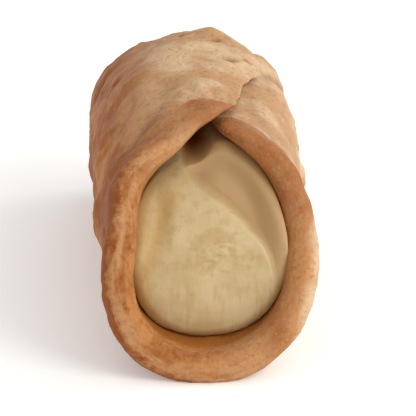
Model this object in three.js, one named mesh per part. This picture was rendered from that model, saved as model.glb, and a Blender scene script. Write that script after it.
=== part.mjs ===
// A cannolo: an oval sheet of fried dough rolled into a tube, one side flap lapped over the other
// along the top, and the cream that fills it from mouth to mouth.
// Millimetres, +Z up. The tube lies along Y, its fuller mouth faces -Y, and it rests on the floor.

import * as THREE from "three";
import { mergeVertices } from "three/addons/utils/BufferGeometryUtils.js";

// ---- Driving dimensions ----------------------------------------------------------------------

// The flat sheet: p runs round the tube from the bottom line, towards -X first, and q along it.
const SHEET = {
  outerReach: 56.4, // from the bottom line to the edge of the flap that laps over
  innerReach: 53.3, // and to the edge of the flap underneath
  front: 44.0, // from the waist to the front tip
  back: 39.0, // and to the back tip
  thick: 4.6,
  noseLength: 2.7, // the rounded edge of the dough
  bead: 0.22, // towards its edge the dough puffs up by this share of the thickness
  beadFrom: 0.8, // share of the reach where that starts
  beadTo: 0.95, // and where it is full
  flapSlant: 0.14, // the lapping flap leans backwards, mm round the tube per mm along it
  backSlant: 1.3, // and this much more behind the waist
  slantEase: 10.0, // the length over which that starts
  arch: { share: 0.175, at: -0.63, width: 0.16, power: 2.6 }, // cut back beside the front notch
  tipShift: 4.7, // the front tip lies this far round from the bottom line
  waves: [
    { count: 3, share: 0.008, phase: 1.0 },
    { count: 5, share: 0.009, phase: 2.6 },
    { count: 9, share: 0.005, phase: 0.4 },
  ],
};

// The tube, as the middle of the dough.
const TUBE = {
  waist: 16.3, // radius at the middle
  frontRadius: 16.5,
  backRadius: 13.9,
  taper: 2.2, // power of the narrowing towards a tip
  floorPower: 2.2, // superellipse power of the lower half's section
  frontRoofPower: 2.4, // and of the upper half's
  backRoofPower: 2.1,
  pinch: { depth: 0.6, at: -5.0, length: 14.0 }, // where it narrows in
  frontHeight: 1.01, // height of the upper half's section against its width
  backHeight: 0.96,
  axisHeight: 18.9, // of the middle of the section
  frontSink: 0.1, // how far the lower half would reach below the floor, before it is flattened
  backSink: 0.7,
  lift: { height: 2.5, from: 14.0 }, // how far the back tip stands off the floor
};

// Where the two flaps were pressed together.
const LAP = {
  thick: 3.0, // what each flap has thinned to at its edge
  thinFrom: 28.0, // from the bottom line, where the thinning starts
  thinTo: 54.0, // and where it is done
  gap: 0.4, // between the two flaps
  rise: 18.0, // the length over which the upper flap climbs on to the lower one
  feather: { share: 0.5, length: 6.0, ease: 5.0 }, // thinner still beside the seam's edge
};

// The skin: long swells that bend the whole dough, and blisters on its outside.
const SWELLS = [
  { around: 2, along: 0.08, height: 0.24, phase: 3.6 },
  { around: 3, along: -0.13, height: 0.2, phase: 2.1 },
  { around: 4, along: 0.19, height: 0.16, phase: 4.0 },
];
const BLISTERS = {
  count: 15,
  seed: 7.31,
  leastRadius: 3.6,
  mostRadius: 7.4,
  leastHeight: 0.45,
  mostHeight: 1.15,
  bareFloor: 0.75, // radians each side of the bottom line that stay smooth
  edgeFade: 3.0, // a blister dies away over this length before the flap that covers it
};

const CREAM = {
  gap: 0.55, // to the dough
  mouthGap: 0.4, // what it has shrunk by at a mouth, beyond that
  mouthDepth: 9.0, // the length over which it has
  slump: 3.0, // what it has sunk by under the seam at a mouth
  slumpDepth: 18.0, // the length over which it has
  slumpTo: 0.45, // it hasn't to the right of this x, as a share of the section
  slumpFade: 0.5, // the share over which that fades in
  seamClear: 0.6, // to the edge of the lower flap, beside which it fills the upper flap's climb
  seamEase: 2.5, // the length over which it rises there
  seamFill: 0.8, // the share of the climb that it fills
  edgeRound: 1.0, // how far a face falls back at its rim
  edgeStart: 0.86, // share of the face's radius where that starts
};
// The cream's faces. Places on them are shares of the section: x to the right and z up, -1 to 1.
const FRONT_FACE = {
  bottom: -34.5, // where it lies along Y at the bottom of the mouth
  top: -15.0,
  power: 2.0, // of its way from one to the other
  mound: { x: -0.1, z: -0.1, size: 0.8, height: 3.2 },
  sides: { z: 0.1, size: 0.6, height: 3.0 }, // it stands forward beside the lips
  facet: { x: -0.4, width: 0.3, z: 0.45, size: 0.4, depth: 1.6 }, // and falls back at the upper left
  // The hollow under the seam ends below at z, at the left at x, and at the right where z - x is less
  // than the slant. Each end fades in over a share of its own.
  hollow: { z: 0.81, zFade: 0.12, x: -0.42, xFade: 0.2, slant: 0.88, slantFade: 0.16, depth: 6.0 },
};
// The scoop at its upper right, beyond an S-shaped ridge.
const SCOOP = {
  middle: 0.29, // x at the middle of the ridge
  reach: 0.635, // how far the ridge swings to each side of it
  height: 0.53, // z at the middle of the ridge
  spread: 0.31, // the height over which it swings
  width: 0.14, // of the step down from the ridge
  depth: 4.2,
  least: 0.3, // share of the depth that is left at its low end
  deepFrom: -0.35, // z of that end
  deepTo: 0.4, // and where it is fully deep
  cupped: 1.0, // share of the depth by which it rises again towards the lips
  cuppedFrom: 0.65, // share of the radius where that starts
};
const BACK_FACE = {
  bottom: 30.0,
  top: 13.5,
  mound: { x: 0.25, z: -0.3, size: 0.7, height: 3.0 },
  stroke: { x: -0.25, z: 0.1, lean: 0.5, width: 0.3, depth: 2.6 }, // left by a spatula
};

const SEGMENTS = {
  sheetRound: 84,
  sheetRings: 19, // on each face of the sheet
  nose: 6, // over its rounded edge
  creamRound: 56,
  creamFace: 14, // rings on each end face
  creamSide: 10,
};

const FINISHES = {
  dough: { color: 0xb4794a, roughness: 0.6, metalness: 0 },
  cream: { color: 0xc8ac7d, roughness: 0.45, metalness: 0 },
};

// ---- Helpers ---------------------------------------------------------------------------------

const TURN = 2 * Math.PI;
const NOTCH_STEP = 0.1; // mm, in the search for the notch
const { lerp, clamp } = THREE.MathUtils;
const share = (x) => clamp(x, 0, 1);
const smooth = (x) => THREE.MathUtils.smoothstep(x, 0, 1);
const bell = (x) => Math.exp(-x * x);

// A repeatable number from 0 to 1 for each index: the digits of a sine that are past all pattern.
const DRAW = { indexStep: 12.9898, seedStep: 78.233, spread: 43758.5453 };
function draw(index, seed) {
  const s = Math.sin(index * DRAW.indexStep + seed * DRAW.seedStep) * DRAW.spread;
  return s - Math.floor(s);
}

// The angle brought to -PI..PI.
const nearest = (angle) => angle - TURN * Math.round(angle / TURN);

// ---- The tube --------------------------------------------------------------------------------

const tipReach = (q) => (q < 0 ? SHEET.front : SHEET.back);

// How far along from the front tip to the back tip, eased, from 0 to 1.
const backness = (q) => smooth((q + SHEET.front) / (SHEET.front + SHEET.back));

function tubeRadius(q) {
  const end = q < 0 ? TUBE.frontRadius : TUBE.backRadius;
  const narrowing = share(Math.abs(q) / tipReach(q)) ** TUBE.taper;
  const { depth, at, length } = TUBE.pinch;
  return lerp(TUBE.waist, end, narrowing) - depth * bell((q - at) / length);
}

function swell(phi, q) {
  return SWELLS.reduce(
    (sum, w) => sum + w.height * Math.sin(w.around * phi + w.along * q + w.phase),
    0,
  );
}

// Across the section at angle phi from the bottom line, for a unit radius: x right, z up.
function sectionAt(phi, q) {
  const roofPower = lerp(TUBE.frontRoofPower, TUBE.backRoofPower, backness(q));
  const power = Math.cos(phi) > 0 ? TUBE.floorPower : roofPower;
  const s = Math.abs(Math.sin(phi)) ** power;
  const c = Math.abs(Math.cos(phi)) ** power;
  const k = (s + c) ** (-1 / power);
  return { x: -k * Math.sin(phi), z: -k * Math.cos(phi) };
}

// The height of the lower half's section against its width: it reaches the floor, and its back lifts.
function floorHeight(q) {
  const { height, from } = TUBE.lift;
  const lifted = height * smooth((q - from) / (SHEET.back - from));
  const depth = TUBE.axisHeight + lerp(TUBE.frontSink, TUBE.backSink, backness(q)) - lifted;
  return depth / (tubeRadius(q) + SHEET.thick / 2);
}

// The point at radius r, angle phi and place q along the tube.
function tubePoint(r, phi, q, target) {
  const unit = sectionAt(phi, q);
  const roof = lerp(TUBE.frontHeight, TUBE.backHeight, backness(q));
  const height = unit.z > 0 ? roof : floorHeight(q);
  return target.set(r * unit.x, q, TUBE.axisHeight + r * height * unit.z);
}

// ---- The sheet of dough ----------------------------------------------------------------------

// The outline of the flat sheet in the direction (c, s) from its middle.
function outline(c, s) {
  const theta = Math.atan2(s, c);
  const ripple = SHEET.waves.reduce(
    (sum, w) => sum + w.share * Math.sin(w.count * theta + w.phase),
    1,
  );
  const q = tipReach(s) * s * ripple;
  const reach = c > 0 ? SHEET.outerReach : SHEET.innerReach;
  const behind = Math.max(0, q);
  const slant = SHEET.flapSlant * q + (SHEET.backSlant * behind ** 2) / (behind + SHEET.slantEase);
  const lean = c > 0 ? slant * c * c : 0;
  const { share: cut, at, width, power } = SHEET.arch;
  const arched = cut * Math.exp(-(Math.abs((s - at) / width) ** power));
  return { p: reach * c * (ripple - arched) + lean, q };
}

// Round from the bottom line, in radians, for a place on the sheet.
const angleAt = (p, q) => (p - (SHEET.tipShift * q) / SHEET.front) / TUBE.waist;

// Where the edge of a flap lies at q along the tube: side is 1 for the upper flap, -1 for the lower.
function flapAngle(side, q) {
  const s = clamp(q / tipReach(q), -1, 1);
  const c = side * Math.sqrt(1 - s * s);
  return angleAt(outline(c, s).p, q);
}

// How far the sheet is pressed thin at p round from the bottom line, from 0 to 1.
const pressedAt = (p) => smooth((Math.abs(p) - LAP.thinFrom) / (LAP.thinTo - LAP.thinFrom));

const halfThick = (p) => lerp(SHEET.thick, LAP.thick, pressedAt(p)) / 2;

// Where the edges of the two flaps cross in front, along the tube: the first place behind the front
// tip at which the upper flap reaches the lower one.
function notchAt() {
  let q = -SHEET.front;
  while (q < 0 && flapAngle(1, q) < flapAngle(-1, q) + TURN) q += NOTCH_STEP;
  return q;
}
const notch = notchAt();

// What is left of the thickness at a distance from the sheet's edge: less beside the seam's edge.
function feathered(fromEdge, p, q) {
  const { share: taken, length, ease } = LAP.feather;
  const inSeam = smooth((q - notch) / ease) * pressedAt(p);
  return 1 - taken * smooth(1 - fromEdge / length) * inSeam;
}

// How far the upper flap has climbed on to the lower one at p, which is angle phi.
function lapRise(p, phi, q) {
  const lowerEdge = flapAngle(-1, q) + TURN;
  const climbed = smooth(1 + ((phi - lowerEdge) * TUBE.waist) / LAP.rise);
  const below = halfThick(p - TURN * TUBE.waist);
  return (below + LAP.gap + halfThick(p)) * climbed;
}

const blisters = Array.from({ length: BLISTERS.count }, (_, i) => ({
  phi: lerp(BLISTERS.bareFloor, TURN - BLISTERS.bareFloor, draw(i, BLISTERS.seed)),
  q: lerp(-SHEET.front, SHEET.back, draw(i, BLISTERS.seed + 1)),
  radius: lerp(BLISTERS.leastRadius, BLISTERS.mostRadius, draw(i, BLISTERS.seed + 2) ** 2),
  height: lerp(BLISTERS.leastHeight, BLISTERS.mostHeight, draw(i, BLISTERS.seed + 3)),
}));

function blisterHeight(phi, q) {
  let height = 0;
  for (const b of blisters) {
    const away = Math.hypot(nearest(phi - b.phi) * TUBE.waist, q - b.q) / b.radius;
    if (away < 1) height = Math.max(height, b.height * (1 - away * away) ** 2);
  }
  const toCover = (flapAngle(1, q) - TURN - phi) * TUBE.waist;
  return height * smooth(-toCover / BLISTERS.edgeFade);
}

// The profile of a disc with a round edge: its faces are at -1 and 1, and its edge is an arc of
// radius 1 about the end of a unit face.
function discProfile() {
  const { sheetRings, nose } = SEGMENTS;
  const inside = Array.from({ length: sheetRings }, (_, i) => new THREE.Vector2(i / sheetRings, -1));
  const edge = Array.from({ length: nose + 1 }, (_, i) => {
    const bend = (Math.PI * i) / nose;
    return new THREE.Vector2(1 + Math.sin(bend), -Math.cos(bend));
  });
  const outside = inside.map((ring) => new THREE.Vector2(ring.x, 1)).reverse();
  return [...inside, ...edge, ...outside];
}

// Turns the profile about Y, and moves each vertex by a rule.
function lathed(profile, segments, move) {
  const lathe = new THREE.LatheGeometry(profile, segments);
  lathe.deleteAttribute("normal");
  lathe.deleteAttribute("uv");
  const geometry = mergeVertices(lathe);
  const position = geometry.getAttribute("position");
  const point = new THREE.Vector3();
  for (let i = 0; i < position.count; i += 1) {
    move(point.fromBufferAttribute(position, i));
    position.setXYZ(i, point.x, point.y, point.z);
  }
  return geometry;
}

// The shell is such a disc, stretched to the oval outline and rolled up.
function rollUp(point) {
  const radius = Math.hypot(point.x, point.z);
  const c = radius ? point.x / radius : 1;
  const s = radius ? -point.z / radius : 0;
  const edge = outline(c, s);
  const reach = Math.hypot(edge.p, edge.q);
  const nose = SHEET.noseLength / reach;
  const out = Math.min(1, radius) * (1 - nose) + Math.max(0, radius - 1) * nose;
  const beaded = smooth((out - SHEET.beadFrom) / (SHEET.beadTo - SHEET.beadFrom));
  const p = out * edge.p;
  const q = out * edge.q;
  const phi = angleAt(p, q);
  const puff = 1 + SHEET.bead * beaded * (1 - pressedAt(p));
  const outwards = Math.max(0, point.y);
  const half = halfThick(p) * puff * feathered((1 - out) * reach, p, q);
  const off = point.y * half + outwards * blisterHeight(phi, q);
  tubePoint(tubeRadius(q) + swell(phi, q) + lapRise(p, phi, q) + off, phi, q, point);
  if (outwards > 0) point.z = Math.max(0, point.z); // the flat that it rests on
}

// ---- The cream -------------------------------------------------------------------------------

const moundAt = (m, x, z) => m.height * bell(Math.hypot(x - m.x, z - m.z) / m.size);

// How much of the scoop's depth is taken out at a place of the front face.
function scoopAt(x, z) {
  const ridge = SCOOP.middle - SCOOP.reach * Math.tanh((z - SCOOP.height) / SCOOP.spread);
  const inside = smooth(0.5 + (x - ridge) / SCOOP.width);
  const low = smooth((z - SCOOP.deepFrom) / (SCOOP.deepTo - SCOOP.deepFrom));
  const beside = smooth((Math.hypot(x, z) - SCOOP.cuppedFrom) / (1 - SCOOP.cuppedFrom));
  return inside * lerp(SCOOP.least, 1, low) * (1 - SCOOP.cupped * beside);
}

// How far a place is in the hollow under the seam, at the left of the scoop's upper end.
function hollowAt(x, z) {
  const h = FRONT_FACE.hollow;
  const beside = smooth((x - h.x) / h.xFade) * smooth((z - x - h.slant) / h.slantFade);
  return beside * smooth((z - h.z) / h.zFade);
}

// Where the front face lies along Y: a mound on the left, with a scoop taken out at the upper right.
function frontFace(x, z) {
  const { bottom, top, power, mound, sides, facet, hollow } = FRONT_FACE;
  const flat = lerp(bottom, top, share((z + 1) / 2) ** power);
  const forward = moundAt(mound, x, z) + sides.height * x * x * bell((z - sides.z) / sides.size);
  const inFacet = smooth((facet.x - x) / facet.width) * bell((z - facet.z) / facet.size);
  const back = SCOOP.depth * scoopAt(x, z) + facet.depth * inFacet + hollow.depth * hollowAt(x, z);
  return flat - forward + back;
}

// The back face: flatter, with one stroke of a spatula down it.
function backFace(x, z) {
  const { bottom, top, mound, stroke } = BACK_FACE;
  const across = x - stroke.x - stroke.lean * (z - stroke.z);
  const flat = lerp(bottom, top, (z + 1) / 2);
  return flat + moundAt(mound, x, z) - stroke.depth * bell(across / stroke.width);
}

// The profile of a unit cylinder along Y: rings on one face, the side, and rings on the other.
function creamProfile() {
  const face = SEGMENTS.creamFace;
  const side = SEGMENTS.creamSide;
  const rings = Array.from({ length: face }, (_, i) => new THREE.Vector2(i / face, -1));
  const wall = Array.from({ length: side + 1 }, (_, i) => new THREE.Vector2(1, -1 + (2 * i) / side));
  const back = rings.map((ring) => new THREE.Vector2(ring.x, 1)).reverse();
  return [...rings, ...wall, ...back];
}

// How far the cream stands up in the groove under the upper flap, beside the lower one's edge.
function seamRidge(phi, q) {
  const toLowerEdge = (flapAngle(-1, q) + TURN - phi) * TUBE.waist;
  const risen = smooth((toLowerEdge - CREAM.seamClear) / CREAM.seamEase);
  return CREAM.seamFill * risen * lapRise(phi * TUBE.waist, phi, q);
}

// The radius of the cream at angle phi, its distance from the nearer mouth given.
function creamRadius(phi, q, fromMouth) {
  const nearMouth = 1 - smooth(fromMouth / CREAM.mouthDepth);
  const nearSlump = 1 - smooth(fromMouth / CREAM.slumpDepth);
  const unit = sectionAt(phi, q);
  const roof = share(unit.z) ** 2 * smooth((CREAM.slumpTo - unit.x) / CREAM.slumpFade);
  const clear = CREAM.gap + CREAM.mouthGap * nearMouth + CREAM.slump * roof * nearSlump;
  const skin = tubeRadius(q) + swell(phi, q) - halfThick(phi * TUBE.waist);
  return skin - clear + seamRidge(phi, q) * (1 - nearSlump);
}

// Moves one vertex of the unit cylinder to its place in the cream.
function fillTube(point) {
  const radius = Math.min(1, Math.hypot(point.x, point.z));
  const phi = Math.atan2(-point.x, -point.z);
  const along = (point.y + 1) / 2;
  const unit = sectionAt(phi, 0);
  const x = radius * unit.x;
  const z = radius * unit.z;
  const fallen = CREAM.edgeRound * share((radius - CREAM.edgeStart) / (1 - CREAM.edgeStart)) ** 2;
  const front = frontFace(x, z) + fallen;
  const back = backFace(x, z) - fallen;
  const q = lerp(front, back, along);
  const fromMouth = Math.min(q - front, back - q);
  tubePoint(radius * creamRadius(phi, q, fromMouth), phi, q, point);
}

// ---- The object ------------------------------------------------------------------------------

function makeMesh(name, geometry, finish) {
  const mesh = new THREE.Mesh(geometry, new THREE.MeshStandardMaterial(finish));
  mesh.name = name;
  return mesh;
}

// The origin is under the middle of the whole, on the floor.
function centred(...meshes) {
  const group = new THREE.Group().add(...meshes);
  const box = new THREE.Box3().setFromObject(group);
  const middle = box.getCenter(new THREE.Vector3());
  group.position.set(-middle.x, -middle.y, -box.min.z);
  return group;
}

const shell = makeMesh(
  "shell",
  lathed(discProfile(), SEGMENTS.sheetRound, rollUp),
  FINISHES.dough,
);
const cream = makeMesh(
  "cream",
  lathed(creamProfile(), SEGMENTS.creamRound, fillTube),
  FINISHES.cream,
);
const cannolo = new THREE.Group();
cannolo.add(centred(shell, cream));

export default cannolo;
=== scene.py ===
"""A cannolo: an oval of fried dough rolled into a tube, with cream in it from mouth to mouth.

The sizes in the classes are millimetres. A finished piece is in metres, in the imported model's frame.
On the flat sheet, p runs round the tube from the bottom line, towards -X first, and q runs along it.
"""

import logging
import math
from collections.abc import Sequence
from dataclasses import dataclass, field
from enum import Enum

import bpy
import numpy as np
from mathutils import Matrix, Vector, noise

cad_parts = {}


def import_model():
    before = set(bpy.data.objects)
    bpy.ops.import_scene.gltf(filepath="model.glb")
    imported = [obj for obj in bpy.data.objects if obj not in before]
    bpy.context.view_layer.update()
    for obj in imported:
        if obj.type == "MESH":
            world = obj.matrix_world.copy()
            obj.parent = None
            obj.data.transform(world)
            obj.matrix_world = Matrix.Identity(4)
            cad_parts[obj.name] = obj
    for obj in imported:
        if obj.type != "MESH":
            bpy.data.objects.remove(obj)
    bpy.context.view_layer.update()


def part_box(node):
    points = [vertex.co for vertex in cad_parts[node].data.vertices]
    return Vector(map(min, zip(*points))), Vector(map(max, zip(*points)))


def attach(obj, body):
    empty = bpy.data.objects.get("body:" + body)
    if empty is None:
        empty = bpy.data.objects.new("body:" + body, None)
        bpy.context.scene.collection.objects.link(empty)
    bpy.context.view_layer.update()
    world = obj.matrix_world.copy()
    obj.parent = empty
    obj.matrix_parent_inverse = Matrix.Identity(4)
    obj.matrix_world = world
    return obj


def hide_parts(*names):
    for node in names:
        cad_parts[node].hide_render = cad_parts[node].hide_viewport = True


LOG = logging.getLogger("cannolo")
MM = 0.001
TURN = 2 * math.pi
Array = np.ndarray


# ---- Numbers ----


def between(low: float, high: float, share: Array | float) -> Array | float:
    """Returns the value that lies this share of the way from low to high."""
    return low + (high - low) * share


def eased(share: Array | float) -> Array:
    """Returns a share kept to 0..1, with a soft start and a soft end."""
    kept = np.clip(share, 0.0, 1.0)
    return kept * kept * (3.0 - 2.0 * kept)


def bell(x: Array | float) -> Array:
    """Returns a bump of height 1 about x = 0."""
    return np.exp(-np.square(x))


@dataclass(frozen=True)
class Ramp:
    """A soft rise from 0 at its start to 1 a width further on. A width below 0 makes it a fall."""

    start: float
    width: float

    def at(self, value: Array) -> Array:
        """Returns the ramp's height at each value."""
        return eased((value - self.start) / self.width)


def nearest(angle: Array) -> Array:
    """Returns the angles brought to -pi..pi."""
    return angle - TURN * np.round(angle / TURN)


def draw(index: Array | float, seed: float) -> Array:
    """Returns a repeatable number from 0 to 1 for each index: the far digits of a sine.

    Args:
        index: What the numbers are drawn for, one each.
        seed: Tells one row of draws from another.
    """
    far_digits = np.sin(index * 12.9898 + seed * 78.233) * 43758.5453
    return far_digits - np.floor(far_digits)


def rough(points: Array, wavelength: float, octaves: int = 3, seed: float = 0.0) -> Array:
    """Returns fractal noise of about -1 to 1 at each point.

    Args:
        points: The places, in millimetres, one row each.
        wavelength: The size of the largest features, in millimetres.
        octaves: How many halvings of that size are added.
        seed: Moves the pattern, so that two of them differ.
    """
    moved = points / wavelength + seed
    return np.fromiter((noise.fractal(Vector(place), 1.0, 2.0, octaves) for place in moved), float)


# ---- The rolled sheet ----


class Flap(Enum):
    """The two sides of the sheet that meet along the top, by the sign of p."""

    UPPER = 1
    LOWER = -1


@dataclass(frozen=True)
class Wave:
    """One wave of the sheet's outline: how many go round it, its share of the reach, its phase."""

    count: int
    share: float
    phase: float


@dataclass(frozen=True)
class Swell:
    """One long swell of the whole dough, as a wave round the tube and along it."""

    around: int
    along: float
    height: float
    phase: float


@dataclass(frozen=True)
class Sheet:
    """The flat oval of dough."""

    outer_reach: float = 56.4
    inner_reach: float = 53.3
    front: float = 44.0
    back: float = 39.0
    thick: float = 4.6
    nose: float = 2.7
    bead: float = 0.22
    bead_from: float = 0.8
    bead_to: float = 0.95
    flap_slant: float = 0.14
    back_slant: float = 1.3
    slant_ease: float = 10.0
    arch: float = 0.175
    arch_at: float = -0.63
    arch_width: float = 0.16
    arch_power: float = 2.6
    tip_shift: float = 4.7
    waves: tuple[Wave, ...] = (
        Wave(3, 0.008, 1.0),
        Wave(5, 0.009, 2.6),
        Wave(9, 0.005, 0.4),
        Wave(23, 0.0016, 1.7),
        Wave(41, 0.0012, 4.1),
        Wave(67, 0.0008, 0.9),
    )


@dataclass(frozen=True)
class Tube:
    """The tube that the sheet is rolled into, as the middle of the dough."""

    waist: float = 16.3
    front_radius: float = 16.5
    back_radius: float = 13.9
    taper: float = 2.2
    floor_power: float = 2.2
    front_roof_power: float = 2.4
    back_roof_power: float = 2.1
    front_height: float = 1.01
    back_height: float = 0.96
    axis_height: float = 18.9
    pinch: float = 0.6
    pinch_at: float = -5.0
    pinch_width: float = 14.0
    front_sink: float = 0.1
    back_sink: float = 0.7
    lift: float = 2.5
    lift_from: float = 14.0
    swells: tuple[Swell, ...] = (
        Swell(2, 0.08, 0.24, 3.6),
        Swell(3, -0.13, 0.2, 2.1),
        Swell(4, 0.19, 0.16, 4.0),
    )


@dataclass(frozen=True)
class Lap:
    """The pressed lap of the two flaps along the top."""

    thick: float = 3.0
    thin_from: float = 28.0
    thin_to: float = 54.0
    gap: float = 0.1
    rise: float = 18.0


@dataclass(frozen=True)
class Roll:
    """Where each place of the sheet lies once it is rolled up."""

    sheet: Sheet = Sheet()
    tube: Tube = Tube()
    lap: Lap = Lap()

    def tip_reach(self, q: Array) -> Array:
        """Returns the reach from the waist to the tip on q's side."""
        return np.where(q < 0, self.sheet.front, self.sheet.back)

    def backness(self, q: Array) -> Array:
        """Returns how far q is on its way from the front tip to the back tip, 0 to 1."""
        return eased((q + self.sheet.front) / (self.sheet.front + self.sheet.back))

    def radius(self, q: Array) -> Array:
        """Returns the radius of the middle of the dough.

        Args:
            q: The places along the tube.
        """
        end = np.where(q < 0, self.tube.front_radius, self.tube.back_radius)
        narrowing = np.clip(np.abs(q) / self.tip_reach(q), 0, 1) ** self.tube.taper
        pinched = self.tube.pinch * bell((q - self.tube.pinch_at) / self.tube.pinch_width)
        return between(self.tube.waist, end, narrowing) - pinched

    def swell(self, phi: Array, q: Array) -> Array:
        """Returns how far the long swells push the dough outwards."""
        return sum(w.height * np.sin(w.around * phi + w.along * q + w.phase) for w in self.tube.swells)

    def section(self, phi: Array, q: Array) -> tuple[Array, Array]:
        """Returns x and z of the unit section.

        Args:
            phi: The angles from the bottom line.
            q: The places along the tube.
        """
        tube = self.tube
        roof = between(tube.front_roof_power, tube.back_roof_power, self.backness(q))
        power = np.where(np.cos(phi) > 0, tube.floor_power, roof)
        reach = (np.abs(np.sin(phi)) ** power + np.abs(np.cos(phi)) ** power) ** (-1 / power)
        return -reach * np.sin(phi), -reach * np.cos(phi)

    def place(self, radius: Array, phi: Array, q: Array) -> Array:
        """Returns points of the tube, one row each.

        Args:
            radius: How far from its middle line they are.
            phi: Their angles from the bottom line.
            q: Their places along the tube.
        """
        x, z = self.section(phi, q)
        tube, backness = self.tube, self.backness(q)
        roof = between(tube.front_height, tube.back_height, backness)
        lifted = tube.lift * eased((q - tube.lift_from) / (self.sheet.back - tube.lift_from))
        depth = tube.axis_height + between(tube.front_sink, tube.back_sink, backness) - lifted
        floor = depth / (self.radius(q) + self.sheet.thick / 2)
        height = tube.axis_height + radius * np.where(z > 0, roof, floor) * z
        return np.stack([radius * x, q, height], axis=1)

    def outline(self, c: Array, s: Array) -> tuple[Array, Array]:
        """Returns p and q of the sheet's edge, in a direction from its middle.

        Args:
            c: The direction's cosine, round the tube.
            s: Its sine, along the tube.
        """
        sheet = self.sheet
        theta = np.arctan2(s, c)
        ripple = 1 + sum(w.share * np.sin(w.count * theta + w.phase) for w in sheet.waves)
        q = self.tip_reach(s) * s * ripple
        reach = np.where(c > 0, sheet.outer_reach, sheet.inner_reach)
        behind = np.maximum(0, q)
        slant = sheet.flap_slant * q + sheet.back_slant * behind**2 / (behind + sheet.slant_ease)
        lean = np.where(c > 0, slant * c * c, 0)
        away = np.abs((s - sheet.arch_at) / sheet.arch_width)
        arched = sheet.arch * np.exp(-(away**sheet.arch_power))
        return reach * c * (ripple - arched) + lean, q

    def angle(self, p: Array, q: Array) -> Array:
        """Returns the angle round the tube of a place on the sheet."""
        return (p - self.sheet.tip_shift * q / self.sheet.front) / self.tube.waist

    def flap_angle(self, flap: Flap, q: Array) -> Array:
        """Returns the angle at which the edge of a flap lies.

        Args:
            flap: Which of the two flaps.
            q: The places along the tube.
        """
        s = np.clip(q / self.tip_reach(q), -1, 1)
        edge_p, _ = self.outline(flap.value * np.sqrt(1 - s * s), s)
        return self.angle(edge_p, q)

    def pressed(self, p: Array) -> Array:
        """Returns how far the sheet is pressed thin at p, 0 to 1."""
        return eased((np.abs(p) - self.lap.thin_from) / (self.lap.thin_to - self.lap.thin_from))

    def half_thick(self, p: Array) -> Array:
        """Returns half the thickness of the sheet at p."""
        return between(self.sheet.thick, self.lap.thick, self.pressed(p)) / 2

    def lap_rise(self, p: Array, phi: Array, q: Array) -> Array:
        """Returns how far the upper flap has climbed on to the lower one.

        Args:
            p: The places round the sheet.
            phi: Their angles round the tube.
            q: Their places along it.
        """
        lower_edge = self.flap_angle(Flap.LOWER, q) + TURN
        climbed = eased(1 + (phi - lower_edge) * self.tube.waist / self.lap.rise)
        below = self.half_thick(p - TURN * self.tube.waist)
        return (below + self.lap.gap + self.half_thick(p)) * climbed

    def notch(self) -> tuple[float, float]:
        """Returns the angle and the place along the tube where the two flaps' edges cross in front."""
        q = np.linspace(-self.sheet.front, 0, 400)
        apart = self.flap_angle(Flap.UPPER, q) - self.flap_angle(Flap.LOWER, q) - TURN
        crossing = q[np.argmax(apart > 0)]
        return float(self.flap_angle(Flap.UPPER, np.array([crossing]))[0]), float(crossing)

    def past_cover(self, phi: Array, q: Array) -> Array:
        """Returns how far a place of the outside lies clear of the flap that covers it, in mm."""
        return -(self.flap_angle(Flap.UPPER, q) - TURN - phi) * self.tube.waist


@dataclass(frozen=True)
class Blisters:
    """Round bubbles that rise from the skin, or sink into it where the height is negative."""

    count: int
    seed: float
    least_radius: float
    most_radius: float
    least_height: float
    most_height: float
    bare_floor: float = 0.75
    crowding: float = 2.0

    def height(self, roll: Roll, phi: Array, q: Array) -> Array:
        """Returns the height of the tallest bubble over each place.

        Args:
            roll: The tube that they lie on.
            phi: The angles of the places.
            q: Where they are along the tube.
        """
        index = np.arange(self.count)
        angles = between(self.bare_floor, TURN - self.bare_floor, draw(index, self.seed))
        along = between(-roll.sheet.front, roll.sheet.back, draw(index, self.seed + 1))
        size = draw(index, self.seed + 2) ** self.crowding
        radii = between(self.least_radius, self.most_radius, size)
        heights = between(self.least_height, self.most_height, draw(index, self.seed + 3))
        total = np.zeros_like(phi)
        for angle, place, radius, height in zip(angles, along, radii, heights):
            away = np.hypot(nearest(phi - angle) * roll.tube.waist, q - place) / radius
            total = np.maximum(total, abs(height) * np.clip(1 - away * away, 0, 1) ** 2)
        return total * math.copysign(1.0, self.most_height)


# ---- Meshes ----


def turned_solid(name: str, rings: Sequence[tuple[float, float]], segments: int) -> bpy.types.Object:
    """Raises a closed round solid from a circle, one extruded ring after the other.

    Args:
        name: The piece's name.
        rings: The radius and height of each ring, from the middle of one face to that of the other.
        segments: How many sides a ring has.

    Returns:
        The solid, about the Z axis, with a pole in the middle of each face.
    """
    bpy.ops.object.select_all(action="DESELECT")
    radius, height = rings[0]
    bpy.ops.mesh.primitive_circle_add(
        vertices=segments, radius=radius, fill_type="TRIFAN", location=(0, 0, height)
    )
    solid = bpy.context.object
    solid.name = solid.data.name = name
    bpy.ops.object.transform_apply()
    bpy.ops.object.mode_set(mode="EDIT")
    bpy.ops.mesh.select_mode(type="EDGE")
    bpy.ops.mesh.select_all(action="SELECT")
    bpy.ops.mesh.region_to_loop()
    for next_radius, next_height in rings[1:]:
        bpy.ops.mesh.extrude_edges_move(TRANSFORM_OT_translate={"value": (0, 0, next_height - height)})
        size = next_radius / radius
        bpy.ops.transform.resize(value=(size, size, 1), center_override=(0, 0, next_height))
        radius, height = next_radius, next_height
    bpy.ops.mesh.extrude_edges_move()
    bpy.ops.mesh.merge(type="CENTER")
    bpy.ops.mesh.select_all(action="SELECT")
    bpy.ops.mesh.normals_make_consistent()
    bpy.ops.object.mode_set(mode="OBJECT")
    bpy.ops.object.shade_smooth()
    return solid


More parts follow.
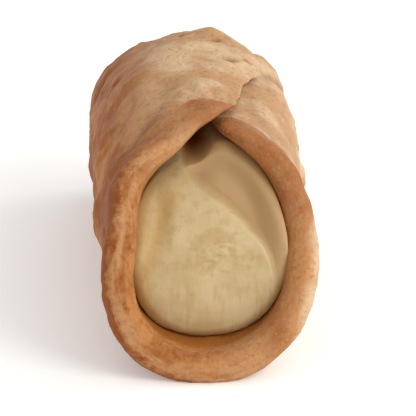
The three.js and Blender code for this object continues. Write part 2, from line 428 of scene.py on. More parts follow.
def rows_of(items: bpy.types.bpy_prop_collection, name: str) -> Array:
    """Returns three numbers of each item, one row each.

    Args:
        items: What has the numbers, such as a mesh's vertices.
        name: What they are called there.
    """
    flat = np.empty(len(items) * 3)
    items.foreach_get(name, flat)
    return flat.reshape(-1, 3)


def points_of(piece: bpy.types.Object) -> Array:
    """Returns the places of a mesh's vertices, one row each."""
    return rows_of(piece.data.vertices, "co")


def move_points(piece: bpy.types.Object, points: Array) -> None:
    """Puts a mesh's vertices at these places."""
    piece.data.vertices.foreach_set("co", points.ravel())
    piece.data.update()


def normals_of(piece: bpy.types.Object) -> Array:
    """Returns the outward direction at each vertex, one row each."""
    return rows_of(piece.data.vertex_normals, "vector")


def paint_points(piece: bpy.types.Object, name: str, values: Array) -> None:
    """Keeps a number for each vertex, which a finish reads by its name."""
    layer = piece.data.attributes.new(name, "FLOAT", "POINT")
    layer.data.foreach_set("value", values.astype(np.float32))


# ---- Shaders ----


def colour(code: int) -> tuple[float, float, float, float]:
    """Returns a screen colour as the light it stands for.

    Args:
        code: Its red, green and blue, as in 0xFFCC88.
    """
    channels = ((code >> shift & 0xFF) / 255 for shift in (16, 8, 0))
    linear = (c / 12.92 if c <= 0.04045 else ((c + 0.055) / 1.055) ** 2.4 for c in channels)
    return (*linear, 1.0)


class Signal:
    """A value that varies over a surface: one output socket, with Python's arithmetic."""

    def __init__(self, paint: "Paint", socket: bpy.types.NodeSocket) -> None:
        """Wraps a socket of a paint's node tree."""
        self.paint = paint
        self.socket = socket

    def _math(self, operation: str, *values: "Signal | float") -> "Signal":
        """Returns the result of a Math node on these values."""
        inputs = dict(enumerate(values))
        return self.paint.signal("ShaderNodeMath", {"operation": operation}, inputs)

    def __add__(self, other: "Signal | float") -> "Signal":
        """Returns self + other."""
        return self._math("ADD", self, other)

    def __sub__(self, other: "Signal | float") -> "Signal":
        """Returns self - other."""
        return self._math("SUBTRACT", self, other)

    def __rsub__(self, other: float) -> "Signal":
        """Returns other - self."""
        return self._math("SUBTRACT", other, self)

    def __mul__(self, other: "Signal | float") -> "Signal":
        """Returns self * other."""
        return self._math("MULTIPLY", self, other)

    __radd__ = __add__
    __rmul__ = __mul__

    def ramped(self, low: "Signal | float", high: "Signal | float") -> "Signal":
        """Returns 0 below low, 1 above high, and a soft rise between them.

        Args:
            low: Where the rise starts.
            high: Where it ends. If it is below low, the rise is a fall.
        """
        return self.paint.signal(
            "ShaderNodeMapRange",
            {"interpolation_type": "SMOOTHSTEP"},
            {"Value": self, "From Min": low, "From Max": high},
            "Result",
        )


class Paint:
    """The node tree of one material."""

    def __init__(self, name: str) -> None:
        """Starts a material with an empty tree.

        Args:
            name: The material's name.
        """
        self.material = bpy.data.materials.new(name)
        self.material.use_nodes = True
        self.tree = self.material.node_tree
        self.tree.nodes.clear()

    def node(self, kind: str, settings: dict | None = None, inputs: dict | None = None) -> bpy.types.Node:
        """Adds a node.

        Args:
            kind: The node's type.
            settings: Its own settings, such as a Math node's operation, set first.
            inputs: A value, a socket or a signal for each input, by name, identifier or number.

        Returns:
            The node.
        """
        made = self.tree.nodes.new(kind)
        for name, value in (settings or {}).items():
            setattr(made, name, value)
        for name, value in (inputs or {}).items():
            socket = self._socket(made.inputs, name)
            if isinstance(value, Signal):
                value = value.socket
            if isinstance(value, bpy.types.NodeSocket):
                self.tree.links.new(value, socket)
            else:
                socket.default_value = value
        return made

    @staticmethod
    def _socket(sockets: Sequence[bpy.types.NodeSocket], name: str | int) -> bpy.types.NodeSocket:
        """Returns the socket with this identifier, or else with this name or number."""
        by_identifier = (s for s in sockets if s.identifier == name)
        return next(by_identifier, None) or sockets[name]

    def signal(
        self,
        kind: str,
        settings: dict | None = None,
        inputs: dict | None = None,
        output: str | int = 0,
    ) -> Signal:
        """Adds a node and returns one of its outputs.

        Args:
            kind: The node's type.
            settings: Its own settings.
            inputs: What its inputs get.
            output: The output's name, identifier or number.
        """
        made = self.node(kind, settings, inputs)
        return Signal(self, self._socket(made.outputs, output))

    def place(self, stretch: tuple[float, float, float] = (1, 1, 1)) -> Signal:
        """Returns the place on the object, in millimetres.

        Args:
            stretch: What each axis is multiplied by. Below 1, a pattern gets longer along it.
        """
        spot = self.node("ShaderNodeTexCoord").outputs["Object"]
        scale = tuple(s / MM for s in stretch)
        return self.signal("ShaderNodeMapping", {}, {"Vector": spot, "Scale": scale})

    def clouds(self, where: Signal, size: float, detail: float = 3.0, roughness: float = 0.55) -> Signal:
        """Returns noise of 0 to 1.

        Args:
            where: The place, in millimetres.
            size: The size of the largest clouds, in millimetres.
            detail: How many finer layers are added.
            roughness: How strong the finer layers are.
        """
        inputs = {"Vector": where, "Scale": 1 / size, "Detail": detail, "Roughness": roughness}
        return self.signal("ShaderNodeTexNoise", {}, inputs, "Fac")

    def warped(self, where: Signal, size: float, amount: float) -> Signal:
        """Returns the place pushed about by noise, which makes a pattern on it irregular.

        Args:
            where: The place, in millimetres.
            size: The size of the noise, in millimetres.
            amount: How far it pushes, in millimetres.
        """
        inputs = {"Vector": where, "Scale": 1 / size, "Detail": 1.0}
        push = self.signal("ShaderNodeTexNoise", {}, inputs, "Color")
        scaled = {0: push, 1: (amount, amount, amount), 2: where}
        return self.signal("ShaderNodeVectorMath", {"operation": "MULTIPLY_ADD"}, scaled)

    def bubbles(self, where: Signal, size: float, least: float, most: float) -> Signal:
        """Returns round spots of differing sizes, 1 in their middle and 0 between them.

        Args:
            where: The place, in millimetres.
            size: The spots' mean distance, in millimetres.
            least: The smallest spot's radius, as a share of that.
            most: The largest spot's radius.
        """
        spots = self.node("ShaderNodeTexVoronoi", {}, {"Vector": where, "Scale": 1 / size})
        chance = self.signal("ShaderNodeSeparateColor", {}, {"Color": spots.outputs["Color"]}, "Red")
        radius = least + (most - least) * chance
        return Signal(self, spots.outputs["Distance"]).ramped(radius, radius * 0.35)

    def kept(self, name: str) -> Signal:
        """Returns the number that the mesh keeps under this name."""
        return self.signal("ShaderNodeAttribute", {"attribute_name": name}, {}, "Fac")

    def mix(self, share: Signal | float, low: object, high: object) -> Signal:
        """Returns a colour between two others.

        Args:
            share: 0 for the first and 1 for the second.
            low: The first colour.
            high: The second colour.
        """
        return self.signal(
            "ShaderNodeMix",
            {"data_type": "RGBA"},
            {"Factor_Float": share, "A_Color": low, "B_Color": high},
            "Result_Color",
        )

    def relief(self, height: Signal, strength: float) -> Signal:
        """Returns the surface's direction with small relief on it, whose height is in millimetres."""
        inputs = {"Height": height, "Distance": MM, "Strength": strength}
        return self.signal("ShaderNodeBump", {}, inputs, "Normal")

    def finish(self, shader_inputs: dict) -> bpy.types.Material:
        """Adds the shader and the output, and returns the material.

        Args:
            shader_inputs: What the shader's inputs get.
        """
        shader = self.node("ShaderNodeBsdfPrincipled", {}, shader_inputs)
        self.node("ShaderNodeOutputMaterial", {}, {"Surface": shader.outputs["BSDF"]})
        return self.material


@dataclass(frozen=True)
class DoughFinish:
    """Fried dough: finely mottled, with a streaky russet band along its edges, painted shade in its
    creases, painted light and shade across its sides and painted highlights on its lips.

    The band's places are millimetres on the outside, counted from the middle of the round edge.
    """

    tan: int = 0xC09468
    pale: int = 0xD9BA94
    brown: int = 0x9C541A
    amber: int = 0xC0854F
    russet: int = 0x8E4B1A
    inner: int = 0xA86A30
    dark: int = 0x6E3B18
    roughness: float = 0.42
    ragged: float = 1.6
    band_start: float = 7.4
    band_end: float = 9.4
    pale_reach: float = 3.0
    flank_reach: float = 4.6
    streak_stretch: float = 6.0

    def material(self) -> bpy.types.Material:
        """Returns the dough's material."""
        paint = Paint("fried_dough")
        where = paint.place()
        warped = paint.warped(where, 1.1, 0.9)
        mottle = paint.clouds(warped, 1.5, 4.0, 0.65)
        skinned = paint.clouds(where, 0.8, 4.0, 0.6)
        bubbles = paint.bubbles(warped, 1.1, 0.15, 0.6)
        edge = paint.kept("edge") + self.ragged * mottle - self.ragged / 2
        rise = paint.kept("rise")
        lit_side = paint.kept("lit_side")

        # Painted light: the russet band is narrower on the lit side and on the lit lower flank at +X, so
        # more pale skin shows there.
        reach = self.pale_reach * lit_side + self.flank_reach * paint.kept("lit_flank")
        in_band = edge.ramped(self.band_end - reach, self.band_start - reach) * 0.9
        skin = paint.mix(in_band, self._body(paint, where), self._band(paint, edge, mottle))
        skin = paint.mix(edge.ramped(-4.2, -6.2), skin, colour(self.inner))
        skin = paint.mix(skinned.ramped(0.5, 0.72) * 0.45, skin, colour(self.brown))
        dotted = bubbles * 0.15 * mottle.ramped(0.3, 0.6) + rise * 0.25
        # Painted light: the pale dots are stronger on the lit side.
        skin = paint.mix(dotted * (0.2 + 0.8 * lit_side), skin, colour(self.pale))
        # Painted shade: the groove beside the edge is painted dark, and so are the sunken burst pits.
        skin = paint.mix(paint.kept("groove_shade_and_pits") * 0.7, skin, colour(self.dark))
        height = bubbles * 0.09 + mottle * 0.35 + skinned * 0.22
        return paint.finish(
            {
                "Base Color": skin,
                "Roughness": self.roughness + 0.2 * skinned,
                "Specular IOR Level": 0.12,
                "Normal": paint.relief(height, 0.9),
                "Subsurface Weight": 0.1,
                "Subsurface Radius": (1.0, 0.4, 0.15),
                "Subsurface Scale": 1.5 * MM,
            }
        )

    def _body(self, paint: Paint, where: Signal) -> Signal:
        """Returns the colour away from the edges: painted darker towards -X and lighter towards +X, with
        painted sheen in pale patches on the lit side, and golden and toasted patches on the shaded side.

        Args:
            paint: The material's tree.
            where: The place, in millimetres.
        """
        patches = paint.clouds(where, 9.0)
        lit_side = paint.kept("lit_side")
        shade_side = 1.0 - lit_side
        golden = patches.ramped(0.46, 0.66) * 0.6 + paint.kept("rise") * 0.5
        toasted = paint.clouds(where, 5.0, 4.0, 0.6).ramped(0.5, 0.68)
        # Painted light and shade: brown towards -X, tan and pale sheen patches on the lit side; golden and
        # toasted patches only on the shaded side.
        body = paint.mix(lit_side, colour(self.brown), colour(self.tan))
        body = paint.mix(lit_side * patches.ramped(0.4, 0.64), body, colour(self.pale))
        body = paint.mix(golden * shade_side, body, colour(self.amber))
        return paint.mix(toasted * shade_side * 0.45, body, colour(self.dark))

    def _band(self, paint: Paint, edge: Signal, mottle: Signal) -> Signal:
        """Returns the colour along the edges: amber with a painted highlight on its crest, and russet
        beyond it, which is partly the band's own burnt colour and partly painted shade on the shaded sides
        of the lips.

        Args:
            paint: The material's tree.
            edge: The place across the band, in millimetres.
            mottle: Fine clouds of 0 to 1.
        """
        along = {"X": paint.kept("edge"), "Y": paint.kept("round") * (1 / self.streak_stretch)}
        streaks = paint.clouds(paint.signal("ShaderNodeCombineXYZ", {}, along), 1.5)
        lit_side = paint.kept("lit_side")
        shade_side = 1.0 - lit_side
        right_arch_shade = lit_side.ramped(0.8, 1.0)
        patchy = streaks.ramped(0.42, 0.68) * 0.6 + mottle.ramped(0.42, 0.7) * 0.5
        # Partly the lips' own burnt streaks, partly painted shade on the outer side of the shaded lip.
        burnt_and_shade = edge.ramped(0.4, 2.4) * shade_side + patchy * (1.0 - 0.6 * lit_side)
        # Painted shade: the upper right lip is painted russet, except on the lit lower flank.
        burnt_and_shade = burnt_and_shade + 0.5 * right_arch_shade * (1.0 - paint.kept("lit_flank"))
        band = paint.mix(burnt_and_shade, colour(self.amber), colour(self.russet))
        # Painted highlight on the crest of the shaded lip, and painted light on the band of the lit side.
        crest_highlight = edge.ramped(-1.6, 0.0) * edge.ramped(2.0, 0.4) * streaks.ramped(0.6, 0.42)
        band_light = 0.2 * lit_side * (1.0 - right_arch_shade) + 0.24 * crest_highlight * shade_side
        return paint.mix(band_light, band, colour(self.pale))


@dataclass(frozen=True)
class CreamFinish:
    """Pale nut cream: smooth and satin, with soft darker clouds, stirred marks and fine specks, and
    painted shade in its scoop, in the hollow under the seam and along its left edge.
    """

    pale: int = 0xCCB587
    deep: int = 0xB39258
    # Painted shade is mixed in with the colours below: in the scoop, in the hollow, and along the left
    # edge together with the spatula's groove.
    drag_and_shade: int = 0xBE9348
    scoop_shade: int = 0xB99362
    hollow_shade: int = 0x8A4E20
    speck: int = 0x8F7340
    roughness: float = 0.42

    def material(self) -> bpy.types.Material:
        """Returns the cream's material."""
        paint = Paint("nut_cream")
        where = paint.place()
        clouds = paint.clouds(where, 5.0)
        streaks = paint.clouds(paint.place((1.0, 1.0, 0.16)), 1.3)
        grain = paint.clouds(where, 0.6, 2.0)
        grains = paint.clouds(paint.place((0.6, 1.0, 1.7)), 3.2, 4.0, 0.6)
        specks = paint.bubbles(paint.warped(where, 3.0, 2.0), 1.8, 0.02, 0.14)
        scooped = paint.kept("scooped")
        stirred = paint.kept("stirred")
        cream = paint.mix(clouds.ramped(0.35, 0.68) * 0.4, colour(self.pale), colour(self.deep))
        cream = paint.mix(stirred * (0.2 + 0.8 * grains.ramped(0.46, 0.6)), cream, colour(self.deep))
        cream = paint.mix(streaks.ramped(0.5, 0.66) * (0.4 - 0.4 * scooped), cream, colour(self.deep))
        # Painted shade: the scoop is painted darker and browner.
        cream = paint.mix(scooped * 0.85, cream, colour(self.scoop_shade))
        # The spatula's groove, and painted shade along the face's left edge beside the lip.
        cream = paint.mix(paint.kept("drag_and_shade") * 0.6, cream, colour(self.drag_and_shade))
        cream = paint.mix(specks * 0.25, cream, colour(self.speck))
        # Painted shade: the hollow under the seam is painted dark brown.
        cream = paint.mix(paint.kept("hollow_shade"), cream, colour(self.hollow_shade))
        height = streaks * (0.12 - 0.1 * scooped) + grain * 0.02
        return paint.finish(
            {
                "Base Color": cream,
                "Roughness": self.roughness + 0.12 * grain,
                "Normal": paint.relief(height, 0.6),
                "Subsurface Weight": 0.3,
                "Subsurface Radius": (1.0, 0.75, 0.4),
                "Subsurface Scale": 2.5 * MM,
            }
        )


@dataclass(frozen=True)
class FloorFinish:
    """The plain pale floor."""

    white: int = 0xF6F5F3
    glow: float = 0.22

    def material(self) -> bpy.types.Material:
        """Returns the floor's material, which glows a little, as a light table does."""
        white = colour(self.white)
        inputs = {"Base Color": white, "Roughness": 0.9, "Emission Color": white}
        return Paint("floor").finish({**inputs, "Emission Strength": self.glow})


# ---- The pieces ----


@dataclass
class Shell:
    """The fried dough: a disc with a round edge, stretched to the oval and rolled up."""

    roll: Roll
    finish: DoughFinish
    segments: int = 520
    outer_rings: int = 116
    inner_rings: int = 40
    nose_rings: int = 12
    inner_crowding: float = 0.6
    groove_from_edge: float = 6.6
    groove_width: float = 1.5
    groove_depth: float = 0.6
    feather: float = 0.65
    feather_width: float = 6.0
    feather_ease: float = 5.0
    pleats: int = 17
    pleat_height: float = 0.3
    pleat_reach: float = 7.0
    pleat_narrowing: float = 1.6
    edge_fade: float = 3.0
    floor_fade: float = 2.0
    lump_size: float = 9.0
    lump_height: float = 0.28
    wrinkle_size: float = 3.2
    wrinkle_height: float = 0.2
    ragged_size: float = 14.0
    round_edge: float = 2.2
    seam_band: float = 6.0
    # Painted light and shade: these ramps make the skin lighter towards +X and upwards and on the lower
    # flank at +X, and darker towards -X.
    paler_upwards: float = 0.45
    pale: Ramp = Ramp(-6.0, 24.0)
    flank_side: Ramp = Ramp(11.0, 5.0)
    flank_top: Ramp = Ramp(27.0, -5.0)
    low: Blisters = Blisters(15, 7.31, 3.6, 7.4, 0.45, 1.15)
    middle: Blisters = Blisters(130, 2.17, 1.4, 3.6, 0.1, 0.4)
    fine: Blisters = Blisters(900, 5.43, 0.8, 1.7, 0.05, 0.18, crowding=1.0)
    burst: Blisters = Blisters(14, 9.61, 1.0, 1.9, -0.5, -0.9)
    shift: Array = field(init=False)

    def build(self) -> bpy.types.Object:
        """Returns the finished dough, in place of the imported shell."""
        piece = turned_solid("fried_shell", self._profile(), self.segments)
        blank = points_of(piece)
        radius = np.hypot(blank[:, 0], blank[:, 1])
        c = np.where(radius > 0, blank[:, 0] / np.maximum(radius, 1e-9), 1.0)
        s = np.where(radius > 0, blank[:, 1] / np.maximum(radius, 1e-9), 0.0)
        roll = self.roll
        edge_p, edge_q = roll.outline(c, s)
        reach = np.hypot(edge_p, edge_q)
        nose = roll.sheet.nose / reach
        out = np.minimum(1, radius) * (1 - nose) + np.maximum(0, radius - 1) * nose
        p, q = out * edge_p, out * edge_q
        phi = roll.angle(p, q)
        beside_edge = eased(1 - (1 - out) * reach / self.feather_width)
        in_seam = eased((q - roll.notch()[1]) / self.feather_ease) * roll.pressed(p)
        thin = 1 - self.feather * beside_edge * in_seam
        points = self._rolled(blank[:, 2] * thin, out, p, q, phi)
        self.shift = self._shift(points)
        move_points(piece, (points + self.shift) * MM)
        self._roughen(piece, blank[:, 2], p, q, phi, (1 - np.minimum(1, radius)) * reach)
        paint_points(piece, "round", np.arctan2(s, c) * (roll.sheet.outer_reach + roll.sheet.front) / 2)
        piece.data.materials.append(self.finish.material())
        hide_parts("shell")
        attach(piece, "root")
        return piece

    def _profile(self) -> list[tuple[float, float]]:
        """Returns the rings of the disc: its inner face at -1, its round edge, its outer face at 1."""
        inner = [((i / self.inner_rings) ** self.inner_crowding, -1.0) for i in range(1, self.inner_rings)]
        bends = [math.pi * i / self.nose_rings for i in range(self.nose_rings + 1)]
        edge = [(1 + math.sin(bend), -math.cos(bend)) for bend in bends]
        outer = [(i / self.outer_rings, 1.0) for i in reversed(range(1, self.outer_rings))]
        return inner + edge + outer

    def _rolled(self, side: Array, out: Array, p: Array, q: Array, phi: Array) -> Array:
        """Returns where the disc's vertices lie once it is rolled up, before its fine relief.

        Args:
            side: -1 on the inner face and 1 on the outer.
            out: How far from the middle to the edge a vertex is, 0 to 1.
            p: Its place round the sheet.
            q: Its place along the sheet.
            phi: Its angle round the tube.
        """
        roll, sheet = self.roll, self.roll.sheet
        beaded = eased((out - sheet.bead_from) / (sheet.bead_to - sheet.bead_from))
        puff = 1 + sheet.bead * beaded * (1 - roll.pressed(p))
        outwards = np.maximum(0, side)
        uncovered = eased(roll.past_cover(phi, q) / self.edge_fade)
        skin = outwards * self.low.height(roll, phi, q) * uncovered
        offset = side * roll.half_thick(p) * puff + skin
        middle = roll.radius(q) + roll.swell(phi, q) + roll.lap_rise(p, phi, q)
        points = roll.place(middle + offset, phi, q)
        points[:, 2] = np.where(outwards > 0, np.maximum(0, points[:, 2]), points[:, 2])
        return points

    @staticmethod
    def _shift(points: Array) -> Array:
        """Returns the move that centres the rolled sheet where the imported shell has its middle.

        Args:
            points: The rolled sheet's vertices.
        """
        low, high = (np.array(corner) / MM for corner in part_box("shell"))
        shift = (low + high) / 2 - (points.min(axis=0) + points.max(axis=0)) / 2
        shift[2] = low[2] - points[:, 2].min()
        return shift

    def _roughen(
        self, piece: bpy.types.Object, side: Array, p: Array, q: Array, phi: Array, from_edge: Array
    ) -> None:
        """Raises the skin's fine relief along its normals, and keeps what the finish reads.

        Args:
            piece: The rolled sheet.
            side: -1 on the inner face and 1 on the outer.
            p: The vertices' places round the sheet.
            q: Their places along the sheet.
            phi: Their angles round the tube.
            from_edge: Their distance from the sheet's edge.
        """
        roll = self.roll
        points = points_of(piece) / MM
        outwards = eased(side + 1)
        uncovered = eased(roll.past_cover(phi, q) / self.edge_fade)
        beside_floor = eased(points[:, 2] / self.floor_fade)
        shown = uncovered * beside_floor * outwards
        middle = self.middle.height(roll, phi, q)
        fine = self.fine.height(roll, phi, q)
        burst = self.burst.height(roll, phi, q)
        lump = rough(points, self.lump_size, 2)
        wrinkle = rough(points, self.wrinkle_size, 3, seed=40.0)
        ragged = rough(points, self.ragged_size, 2, seed=7.0)
        groove = bell((from_edge - self.groove_from_edge) / self.groove_width) * eased(0.6 + ragged)
        groove = groove * (1 - roll.pressed(p))
        notch_phi, notch_q = roll.notch()
        around, along = (phi - notch_phi) * roll.tube.waist, q - notch_q
        from_notch = np.hypot(around, along)
        pleat = np.sin(self.pleats * np.arctan2(along, around) + 1.5 * ragged)
        beyond_reach = (from_notch - self.pleat_reach) / self.pleat_reach
        pleat = self.pleat_height * pleat * bell(beyond_reach * self.pleat_narrowing)
        relief = (middle + fine + burst + pleat) * shown
        uneven = self.lump_height * lump + self.wrinkle_height * wrinkle
        relief = relief + uneven * np.maximum(shown, 0.5 * (1 - roll.pressed(p)))
        relief = relief - self.groove_depth * groove * shown
        moved = points + normals_of(piece) * relief[:, None]
        moved[:, 2] = np.maximum(moved[:, 2], 0)
        move_points(piece, moved * MM)
        beside_seam = self.seam_band * eased((q - notch_q - 1) / self.feather_ease)
        beyond = np.where(side < 0, -from_edge, from_edge + 0.5 * ragged + beside_seam)
        paint_points(piece, "edge", self.round_edge * side + beyond)
        # Painted shade in the groove beside the edge, and dark in the sunken burst pits.
        paint_points(piece, "groove_shade_and_pits", np.clip(groove * shown + np.maximum(0, -burst) * 1.2, 0, 1))
        paint_points(piece, "rise", np.clip((middle + 2 * fine) * shown / 0.6, 0, 1))
        # Painted light and shade: the skin is painted lighter towards +X and upwards and darker towards
        # -X, as the light falls from the right, and lighter still on the lower flank at +X.
        x, z = points[:, 0], points[:, 2]
        paint_points(piece, "lit_side", self.pale.at(x + self.paler_upwards * z))
        paint_points(piece, "lit_flank", self.flank_side.at(x) * self.flank_top.at(z))


@dataclass(frozen=True)
class Scoop:
    """The hollow that a spoon left at the upper right of the front face, beside an S-shaped ridge."""

    middle: float = 0.21
    reach: float = 0.67
    height: float = 0.446
    spread: float = 0.379
    width: float = 0.09
    depth: float = 4.2
    least: float = 0.3
    deepening: Ramp = Ramp(-0.35, 0.75)
    cupped_from: float = 0.65

    def share(self, x: Array, z: Array) -> tuple[Array, Array]:
        """Returns how far a place is in the scoop, and how deep the scoop is there.

        Args:
            x: The places across the face.
            z: Their heights on it.
        """
        ridge = self.middle - self.reach * np.tanh((z - self.height) / self.spread)
        risen = eased((np.hypot(x, z) - self.cupped_from) / (1 - self.cupped_from))
        depth = between(self.least, 1, self.deepening.at(z)) * (1 - risen)
        return eased(0.5 + (x - ridge) / self.width), depth


@dataclass(frozen=True)
class Hollow:
    """The dark hollow under the seam, at the upper left of the front face: a wedge with soft sides."""

    slant: Ramp = Ramp(0.88, 0.16)
    left: Ramp = Ramp(-0.42, 0.2)
    bottom: Ramp = Ramp(0.85, 0.12)
    # Where the hollow's cream is painted dark, as painted shade.
    shade_slant: Ramp = Ramp(0.94, 0.16)
    depth: float = 6.0

    def share(self, x: Array, z: Array) -> Array:
        """Returns how far a place is in the hollow, 0 to 1."""
        return self.slant.at(z - x) * self.left.at(x) * self.bottom.at(z)

    def hollow_shade(self, x: Array, z: Array) -> Array:
        """Returns how far the hollow's cream is painted dark, as painted shade, 0 to 1."""
        return self.share(x, z) * self.shade_slant.at(z - x)


@dataclass(frozen=True)
class Stroke:
    """A groove that a spatula left down a face, which fades out where it has ends."""

    at: float
    lean: float
    width: float
    depth: float
    bottom: Ramp = Ramp(-2.0, 1.0)
    top: Ramp = Ramp(2.0, -1.0)

    def share(self, x: Array, z: Array) -> Array:
        """Returns how far a place is in the groove, 0 to 1."""
        across = bell((x - self.at - self.lean * z) / self.width)
        return across * self.bottom.at(z) * self.top.at(z)


@dataclass(frozen=True)
class Spot:
    """An oval spot on a face, strongest in its middle."""

    x: float
    z: float
    half_width: float
    half_height: float
    strength: float = 1.0

    def share(self, x: Array, z: Array) -> Array:
        """Returns how strong the spot is at each place."""
        away = np.hypot((x - self.x) / self.half_width, (z - self.z) / self.half_height)
        return self.strength * bell(away)


@dataclass(frozen=True)
class FrontFace:
    """The shown face of the cream. Places on a face are shares of the section, -1 to 1."""

    low: float = -34.5
    high: float = -15.0
    lean_power: float = 2.0
    mound: Spot = Spot(-0.1, -0.1, 0.8, 0.8, 3.2)
    sides: float = 3.0
    sides_at: float = 0.1
    sides_height: float = 0.6
    facet: float = 1.6
    facet_side: Ramp = Ramp(-0.4, -0.3)
    facet_at: float = 0.45
    facet_height: float = 0.4
    scoop: Scoop = Scoop()
    hollow: Hollow = Hollow()
    drag: Stroke = Stroke(-0.78, 0.55, 0.13, 0.35, Ramp(-0.5, 0.5), Ramp(0.75, -0.3))
    stirred: Spot = Spot(0.12, 0.02, 0.42, 0.24)
    # Painted shade along the face's left edge, beside the lip.
    left_shade: float = 0.8
    left_shade_side: Ramp = Ramp(-0.66, -0.16)

    def along(self, x: Array, z: Array) -> Array:
        """Returns where the face lies along the tube: a mound with a scoop taken out.

        Args:
            x: The places across the face.
            z: Their heights on it.
        """
        in_scoop, deep = self.scoop.share(x, z)
        sides = self.sides * x * x * bell((z - self.sides_at) / self.sides_height)
        facet = self.facet * self.facet_side.at(x) * bell((z - self.facet_at) / self.facet_height)
        hollow = self.hollow.depth * self.hollow.share(x, z)
        drag = self.drag.depth * self.drag.share(x, z)
        leaning = np.clip((z + 1) / 2, 0, 1) ** self.lean_power
        face = between(self.low, self.high, leaning) - self.mound.share(x, z) - sides
        return face + self.scoop.depth * in_scoop * deep + facet + hollow + drag

    def drag_and_shade(self, x: Array, z: Array) -> Array:
        """Returns the share of the spatula's groove and of the painted shade along the left edge beside
        the lip, 0 to 1.
        """
        return np.maximum(self.drag.share(x, z), self.left_shade * self.left_shade_side.at(x))


@dataclass(frozen=True)
class BackFace:
    """The other face of the cream: flatter, with one stroke down it."""

    low: float = 30.0
    high: float = 13.5
    mound: Spot = Spot(0.25, -0.3, 0.7, 0.7, 3.0)
    stroke: Stroke = Stroke(-0.3, 0.5, 0.3, 2.6)

    def along(self, x: Array, z: Array) -> Array:
        """Returns where the face lies along the tube."""
        face = between(self.low, self.high, (z + 1) / 2) + self.mound.share(x, z)
        return face - self.stroke.depth * self.stroke.share(x, z)


@dataclass
class Cream:
    """The cream that fills the tube, with a face in each mouth."""

    roll: Roll
    finish: CreamFinish
    shift: Array
    front: FrontFace = FrontFace()
    back: BackFace = BackFace()
    segments: int = 300
    front_rings: int = 60
    side_rings: int = 36
    back_rings: int = 30
    gap: float = 0.25
    slump: float = 3.0
    slump_depth: float = 18.0
    slump_side: Ramp = Ramp(0.28, -0.5)
    seam: Ramp = Ramp(0.6, 2.5)
    seam_fill: float = 0.8
    edge_round: float = 1.0
    edge_start: float = 0.86
    # How far the painted shade of the scoop and of the hollow reaches along the tube.
    scoop_shade_along: Ramp = Ramp(0.1, -0.1)
    hollow_shade_along: Ramp = Ramp(0.5, -0.2)
    line_size: float = 1.8
    line_height: float = 0.07
    line_top: Ramp = Ramp(22.0, -8.0)
    lump_size: float = 3.0
    lump_height: float = 0.06
    stirred_height: float = 0.22
    smoothed: float = 0.85

    def build(self) -> bpy.types.Object:
        """Returns the finished cream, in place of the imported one."""
        piece = turned_solid("cream_filling", self._profile(), self.segments)
        blank = points_of(piece)
        radius = np.minimum(1, np.hypot(blank[:, 0], blank[:, 1]))
        phi = np.arctan2(-blank[:, 0], blank[:, 1])
        along = (blank[:, 2] + 1) / 2
        x, z = (radius * unit for unit in self.roll.section(phi, np.zeros_like(phi)))
        round_off = np.clip((radius - self.edge_start) / (1 - self.edge_start), 0, 1) ** 2
        front = self.front.along(x, z) + self.edge_round * round_off
        back = self.back.along(x, z) - self.edge_round * round_off
        q = between(front, back, along)
        from_mouth = np.minimum(q - front, back - q)
        points = self.roll.place(radius * self._radius(phi, q, from_mouth, radius), phi, q) + self.shift
        move_points(piece, points * MM)
        in_scoop, _ = self.front.scoop.share(x, z)
        # Painted shade in the scoop, along the spatula's groove and the left edge, and in the hollow.
        paint_points(piece, "scooped", in_scoop * self.scoop_shade_along.at(along))
        paint_points(piece, "drag_and_shade", self.front.drag_and_shade(x, z) * (1 - along))
        paint_points(piece, "hollow_shade", self.front.hollow.hollow_shade(x, z) * self.hollow_shade_along.at(along))
        stirred = self.front.stirred.share(x, z) * (1 - along)
        paint_points(piece, "stirred", stirred)
        self._roughen(piece, in_scoop * (1 - along), stirred)
        piece.data.materials.append(self.finish.material())
        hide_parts("cream")
        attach(piece, "root")
        return piece

    def _profile(self) -> list[tuple[float, float]]:
        """Returns the rings of a unit cylinder: its front face, its side and its back face."""
        front = [(i / self.front_rings, -1.0) for i in range(1, self.front_rings)]
        side = [(1.0, -1 + 2 * i / self.side_rings) for i in range(self.side_rings + 1)]
        back = [(i / self.back_rings, 1.0) for i in reversed(range(1, self.back_rings))]
        return front + side + back

    def _radius(self, phi: Array, q: Array, from_mouth: Array, out: Array) -> Array:
        """Returns the radius of the cream at each angle and place along the tube.

        Args:
            phi: The angles.
            q: The places along the tube.
            from_mouth: Their distance from the nearer face of the cream.
            out: How far from the middle to the side they are, 0 to 1.
        """
        roll = self.roll
        near_slump = 1 - eased(from_mouth / self.slump_depth)
        across, up = roll.section(phi, q)
        roof = np.clip(up, 0, 1) ** 2 * self.slump_side.at(across)
        clear = self.gap + self.slump * roof * near_slump * out * out
        skin = roll.radius(q) + roll.swell(phi, q) - roll.half_thick(phi * roll.tube.waist)
        to_lower_edge = (roll.flap_angle(Flap.LOWER, q) + TURN - phi) * roll.tube.waist
        ridge = self.seam_fill * self.seam.at(to_lower_edge) * roll.lap_rise(phi * roll.tube.waist, phi, q)
        return skin - clear + ridge * (1 - near_slump)

    def _roughen(self, piece: bpy.types.Object, smooth: Array, stirred: Array) -> None:
        """Raises the cream's lumps and fine lines, and leaves the scooped part smooth.

        Args:
            piece: The cream.
            smooth: Where it was scraped smooth, 0 to 1.
            stirred: Where it is lumpiest, 0 to 1.
        """
        points = points_of(piece) / MM
        line = rough(points * np.array([1.0, 1.0, 0.25]), self.line_size, 2, seed=12.0)
        line = line * self.line_top.at(points[:, 2])
        lump = rough(points * np.array([0.7, 1.0, 1.5]), self.lump_size, 3, seed=5.0)
        lumps = (self.lump_height + self.stirred_height * stirred) * lump
        relief = (self.line_height * line + lumps) * (1 - self.smoothed * smooth)
        move_points(piece, (points + normals_of(piece) * relief[:, None]) * MM)


# ---- The studio ----


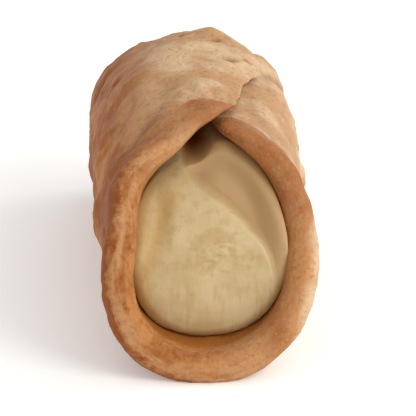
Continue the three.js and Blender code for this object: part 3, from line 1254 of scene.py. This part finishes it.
@dataclass(frozen=True)
class Eye:
    """The camera, at the photograph's viewing angle. The frame is filled with the object."""

    azimuth: float = -5.0
    elevation: float = 24.5
    roll: float = -2.8
    distance: float = 1000.0
    aim: tuple[float, float, float] = (0.0, -18.0, 18.0)
    aim_right: float = 0.58
    aim_up: float = 4.36
    lens: float = 495.0
    sensor: float = 36.0

    def build(self) -> None:
        """Makes the camera and looks through it."""
        azimuth, elevation, roll = map(math.radians, (self.azimuth, self.elevation, self.roll))
        level = math.cos(elevation)
        back = Vector((math.sin(azimuth) * level, -math.cos(azimuth) * level, math.sin(elevation)))
        right = Vector((math.cos(azimuth), math.sin(azimuth), 0))
        up = back.cross(right)
        turned_right = right * math.cos(roll) - up * math.sin(roll)
        turned_up = right * math.sin(roll) + up * math.cos(roll)
        middle = Vector(self.aim) + turned_right * self.aim_right + turned_up * self.aim_up
        data = bpy.data.cameras.new("camera")
        data.lens, data.sensor_width = self.lens, self.sensor
        camera = bpy.data.objects.new("camera", data)
        turn = Matrix((turned_right, turned_up, back)).transposed().to_4x4()
        camera.matrix_world = Matrix.Translation((middle + back * self.distance) * MM) @ turn
        bpy.context.scene.collection.objects.link(camera)
        bpy.context.scene.camera = camera


@dataclass(frozen=True)
class Lamp:
    """A soft square light, in metres and watts, that shines at the object."""

    name: str
    place: tuple[float, float, float]
    size: float
    power: float
    tint: tuple[float, float, float] = (1.0, 1.0, 1.0)

    def build(self) -> None:
        """Hangs the light."""
        data = bpy.data.lights.new(self.name, "AREA")
        data.size, data.energy, data.color = self.size, self.power, self.tint
        lamp = bpy.data.objects.new(self.name, data)
        lamp.location = self.place
        lamp.rotation_euler = Vector(self.place).to_track_quat("Z", "Y").to_euler()
        bpy.context.scene.collection.objects.link(lamp)


@dataclass
class Studio:
    """The floor, the light and the camera."""

    finish: FloorFinish = FloorFinish()
    floor_size: float = 8.0
    sky: float = 0.74
    key: Lamp = Lamp("key", (0.46, -0.36, 0.5), 0.4, 2.3, (1.0, 0.97, 0.93))
    rim: Lamp = Lamp("rim", (0.45, 0.2, 0.45), 0.3, 0.7)
    eye: Eye = Eye()

    def build(self) -> None:
        """Sets up the studio round the object."""
        bpy.ops.object.select_all(action="DESELECT")
        bpy.ops.mesh.primitive_plane_add(size=self.floor_size)
        floor = bpy.context.object
        floor.name = "floor"
        floor.data.materials.append(self.finish.material())
        world = bpy.data.worlds.new("sky")
        world.use_nodes = True
        background = world.node_tree.nodes["Background"]
        background.inputs["Color"].default_value = (1, 1, 1, 1)
        background.inputs["Strength"].default_value = self.sky
        bpy.context.scene.world = world
        bpy.context.scene.view_settings.view_transform = "Standard"
        self.key.build()
        self.rim.build()
        self.eye.build()


def main() -> None:
    """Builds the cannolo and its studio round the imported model."""
    logging.basicConfig(level=logging.INFO, format="%(name)s: %(message)s")
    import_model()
    roll = Roll()
    shell = Shell(roll, DoughFinish())
    for piece in (shell.build(), Cream(roll, CreamFinish(), shell.shift).build()):
        LOG.info("%s: %d faces", piece.name, len(piece.data.polygons))
    Studio().build()


if __name__ == "__main__":
    main()
